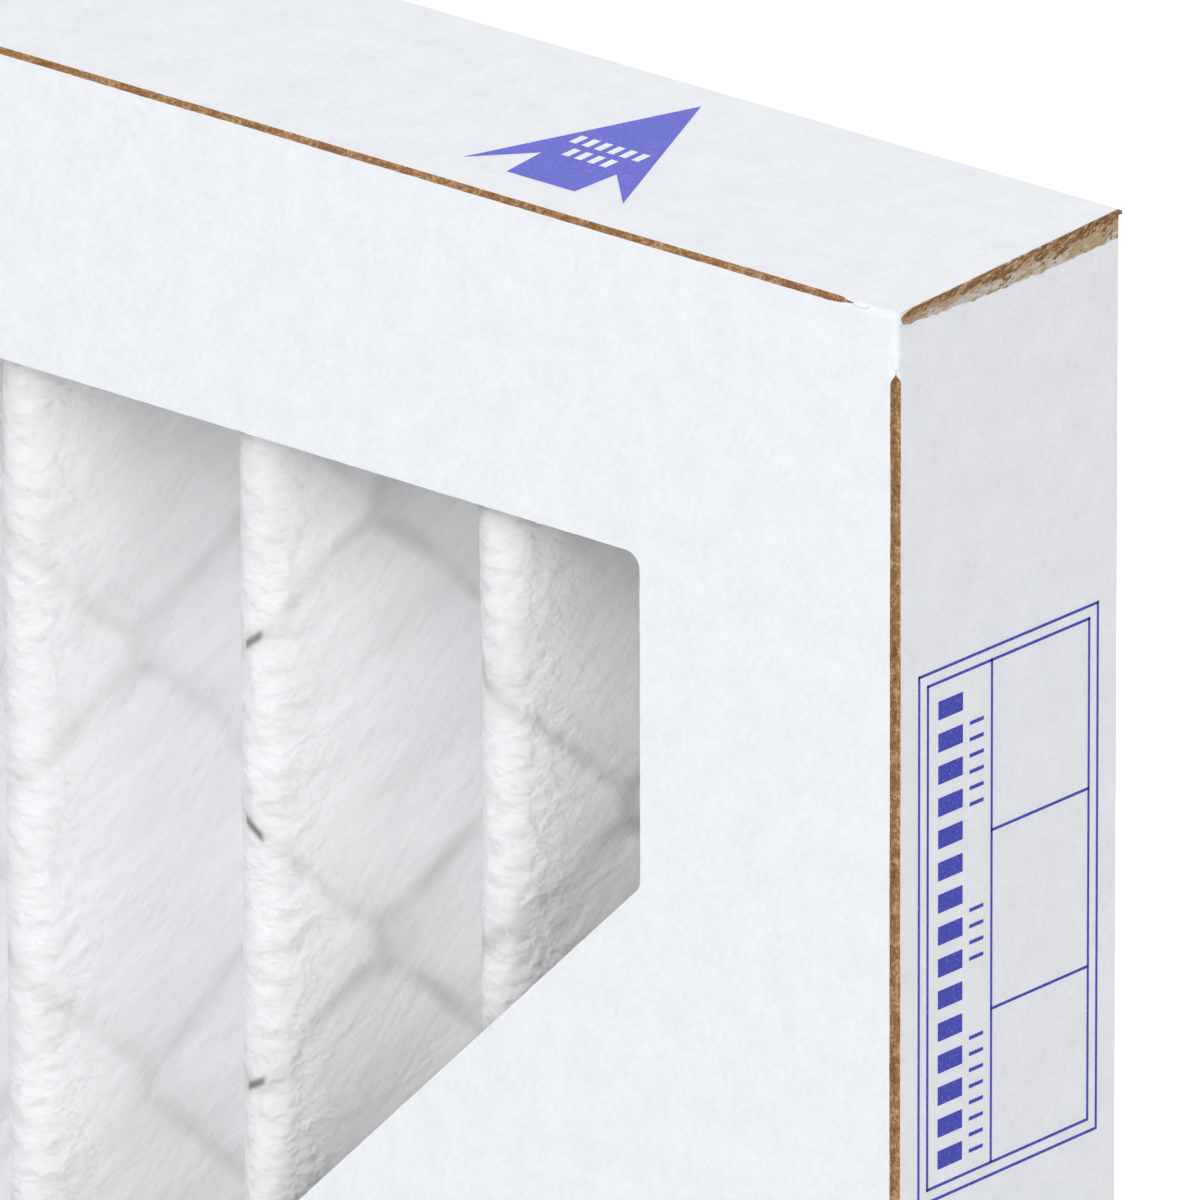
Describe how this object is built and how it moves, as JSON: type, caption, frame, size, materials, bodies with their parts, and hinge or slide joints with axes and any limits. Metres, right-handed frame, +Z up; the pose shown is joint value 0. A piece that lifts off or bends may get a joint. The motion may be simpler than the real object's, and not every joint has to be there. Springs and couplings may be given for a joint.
{
  "type": "pleated panel air filter",
  "caption": "Flat pleated air filter: white board frame with crossed struts round folded felt on a steel mesh.",
  "frame": {"origin": "middle of the bottom edge, on the surface that the filter stands on", "axes": "+X along the width, -Y out of the front face where air enters, +Z up along the pleats"},
  "size_m": [0.4952, 0.019, 0.5978],
  "materials": {
    "board": "matte",
    "felt": "matte",
    "steel": "satin",
    "glue": "satin"
  },
  "bodies": {
    "root": {"outer_tray": "board", "inner_tray": "board", "pleated_media": "felt", "wire_backing": "steel", "glue_bottom": "glue", "glue_top": "glue", "glue_left": "glue", "glue_right": "glue"}
  },
  "joints": []
}
